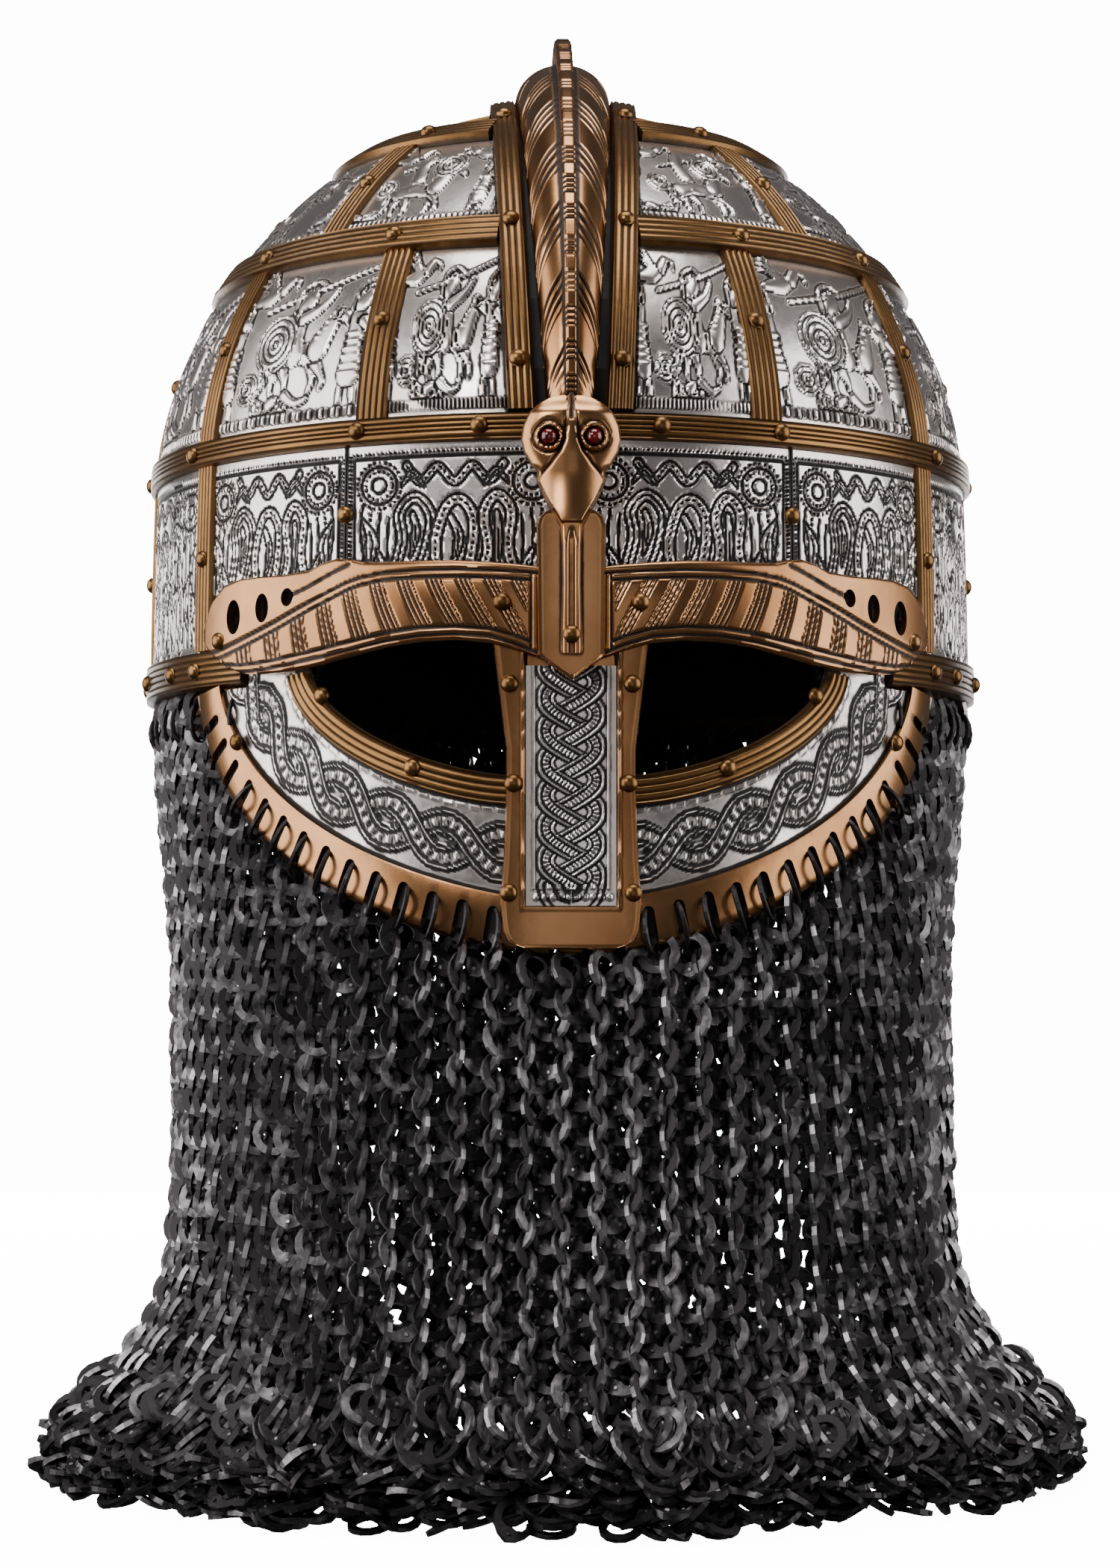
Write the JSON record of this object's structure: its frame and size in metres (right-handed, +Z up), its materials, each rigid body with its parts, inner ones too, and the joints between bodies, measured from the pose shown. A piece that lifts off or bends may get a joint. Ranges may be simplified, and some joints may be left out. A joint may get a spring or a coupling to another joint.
{
  "type": "viking helmet with mail curtain",
  "caption": "Ridge helmet of riveted brass hoops and pressed foils, with a crest that ends in a beast head, a spectacle guard for the eyes and a curtain of riveted mail.",
  "frame": {"origin": "crown of the head, at the middle of the skull bowl's inner top, where the helmet sits on the head", "axes": "+Z up, -Y to the front of the helmet, +X to the side on the right in the picture"},
  "size_m": [0.2774, 0.2852, 0.3738],
  "materials": {
    "iron": "blackened",
    "tinned_foil": "pressed and tinned, dark in the hollows",
    "brass": "satin, aged",
    "bronze": "polished, aged",
    "garnet": "polished stone",
    "mail": "blackened and oiled"
  },
  "bodies": {
    "root": {"skull_bowl": "iron", "rim_foil_nose_left": "tinned_foil", "rim_foil_nose_right": "tinned_foil", "rim_foil_brow_left": "tinned_foil", "rim_foil_brow_right": "tinned_foil", "rim_foil_side_left": "tinned_foil", "rim_foil_side_right": "tinned_foil", "middle_foil_front_left": "tinned_foil", "middle_foil_front_right": "tinned_foil", "middle_foil_brow_left": "tinned_foil", "middle_foil_brow_right": "tinned_foil", "middle_foil_side_left": "tinned_foil", "middle_foil_side_right": "tinned_foil", "middle_foil_rear_left": "tinned_foil", "middle_foil_rear_right": "tinned_foil", "upper_foil_front_left": "tinned_foil", "upper_foil_front_right": "tinned_foil", "upper_foil_side_left": "tinned_foil", "upper_foil_side_right": "tinned_foil", "rim_foil_rear": "tinned_foil", "guard_plate": "tinned_foil", "nasal_panel": "tinned_foil", "cheek_strip_left": "brass", "cheek_strip_right": "brass", "side_strip_left": "brass", "side_strip_right": "brass", "nape_strip_left": "brass", "nape_strip_right": "brass", "brow_strip_left": "brass", "brow_strip_right": "brass", "rear_strip_left": "brass", "rear_strip_right": "brass", "upper_strip_front_left": "brass", "upper_strip_front_right": "brass", "upper_strip_rear_left": "brass", "upper_strip_rear_right": "brass", "rim_band": "brass", "brow_band": "brass", "middle_band_left": "brass", "middle_band_right": "brass", "upper_band_left": "brass", "upper_band_right": "brass", "crest_band_left": "brass", "crest_band_right": "brass", "eye_rim_left": "brass", "eye_rim_right": "brass", "mail_rail": "brass", "crest": "bronze", "comb": "bronze", "beast_head": "bronze", "nose_plate": "bronze", "nasal_frame": "bronze", "guard_channel": "bronze", "eyebrow_left": "bronze", "eyebrow_right": "bronze", "garnet_left": "garnet", "garnet_right": "garnet", "mail_curtain": "mail"}
  },
  "joints": []
}
